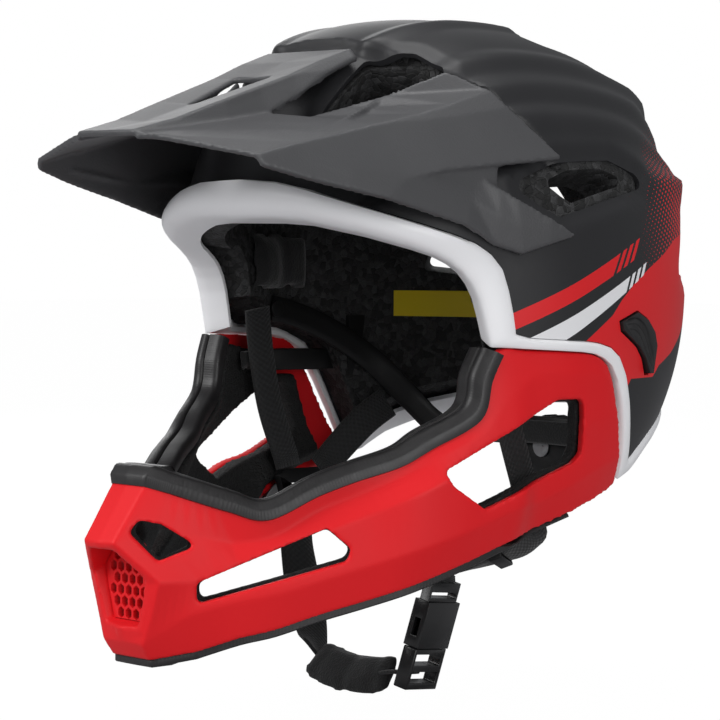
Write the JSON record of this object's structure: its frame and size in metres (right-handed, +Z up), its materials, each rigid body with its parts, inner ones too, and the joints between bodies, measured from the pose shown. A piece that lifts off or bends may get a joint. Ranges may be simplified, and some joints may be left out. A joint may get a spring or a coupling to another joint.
{
  "type": "full-face mountain bike helmet",
  "caption": "Full-face mountain bike helmet with a vented shell, foam liner, pull-off visor, detachable chin guard with latches, rear fit dial and buckled chin strap.",
  "frame": {"origin": "centre of the wearer's head at headband level", "axes": "+Z up, the face looks along -Y, the wearer's left is +X"},
  "size_m": [0.2158, 0.3202, 0.3013],
  "materials": {
    "shell_black": "smooth moulded polycarbonate skin, satin",
    "frame_white": "moulded nylon, satin gloss",
    "liner_foam": "moulded expanded polystyrene, black",
    "visor_black": "moulded nylon, fine texture",
    "soft_rubber": "moulded rubber, matt",
    "guard_red": "moulded ABS painted red under clear lacquer",
    "black_plastic": "moulded nylon and acetal, fine texture",
    "spring_steel": "drawn spring wire",
    "screw_steel": "turned steel",
    "pad_fabric": "brushed polyester over soft foam",
    "webbing": "woven polyester webbing",
    "label_vinyl": "blank yellow vinyl"
  },
  "bodies": {
    "root": {"upper_shell": "shell_black", "lower_shell": "frame_white", "eps_liner": "liner_foam", "visor_grommets": "soft_rubber", "latch_socket_left": "black_plastic", "latch_socket_right": "black_plastic", "latch_spring_left": "spring_steel", "latch_spring_right": "spring_steel", "crown_pad": "pad_fabric", "brow_pad": "pad_fabric", "temple_pad_left": "pad_fabric", "temple_pad_right": "pad_fabric", "headband": "black_plastic", "headband_anchors": "black_plastic", "front_strap_left": "webbing", "front_strap_right": "webbing", "rear_strap_left": "webbing", "rear_strap_right": "webbing", "strap_divider_left": "black_plastic", "strap_divider_right": "black_plastic", "strap_anchors": "black_plastic", "chin_strap_left": "webbing", "chin_strap_right": "webbing", "chin_pad": "pad_fabric", "strap_keeper": "black_plastic", "buckle_socket": "black_plastic", "inner_label": "label_vinyl"},
    "chin_guard": {"chin_guard": "guard_red", "chin_guard_liner": "liner_foam", "guard_bead": "soft_rubber", "guard_strip": "soft_rubber", "front_grille": "guard_red", "guard_tongue_left": "black_plastic", "guard_tongue_right": "black_plastic", "cheek_pad_left": "pad_fabric", "cheek_pad_right": "pad_fabric"},
    "latch_left": {"latch_button_left": "soft_rubber"},
    "latch_right": {"latch_button_right": "soft_rubber"},
    "visor": {"visor": "visor_black", "visor_pegs": "soft_rubber"},
    "cradle": {"cradle_housing": "black_plastic", "nape_pad": "pad_fabric"},
    "dial": {"fit_dial": "black_plastic", "dial_screw": "screw_steel"},
    "buckle_plug": {"buckle_plug": "black_plastic"}
  },
  "joints": [
    {"name": "guard_slide", "type": "slide", "parent": "root", "child": "chin_guard", "axis": [0, -1, 0], "range_m": [0, 0.045]},
    {"name": "latch_left_press", "type": "slide", "parent": "root", "child": "latch_left", "axis": [-1, 0, 0], "range_m": [0, 0.0025], "stiffness_N_per_m": 600, "springref_m": -0.002},
    {"name": "latch_right_press", "type": "slide", "parent": "root", "child": "latch_right", "axis": [1, 0, 0], "range_m": [0, 0.0025], "stiffness_N_per_m": 600, "springref_m": -0.002},
    {"name": "visor_pull", "type": "slide", "parent": "root", "child": "visor", "axis": [0, -0.866, 0.5], "range_m": [0, 0.03]},
    {"name": "cradle_slide", "type": "slide", "parent": "root", "child": "cradle", "axis": [0, 1, 0], "range_m": [0, 0.012]},
    {"name": "dial_turn", "type": "hinge", "parent": "cradle", "child": "dial", "pos_m": [0, 0.0834, -0.057], "axis": [0, 1, 0], "range_deg": [0, 270]},
    {"name": "plug_release", "type": "slide", "parent": "root", "child": "buckle_plug", "axis": [-0.2016, -0.1512, -0.9677], "range_m": [0, 0.022]}
  ],
  "couplings": [
    {"joint": "dial_turn", "follows": "cradle_slide", "rad_per_m": 392.6}
  ]
}
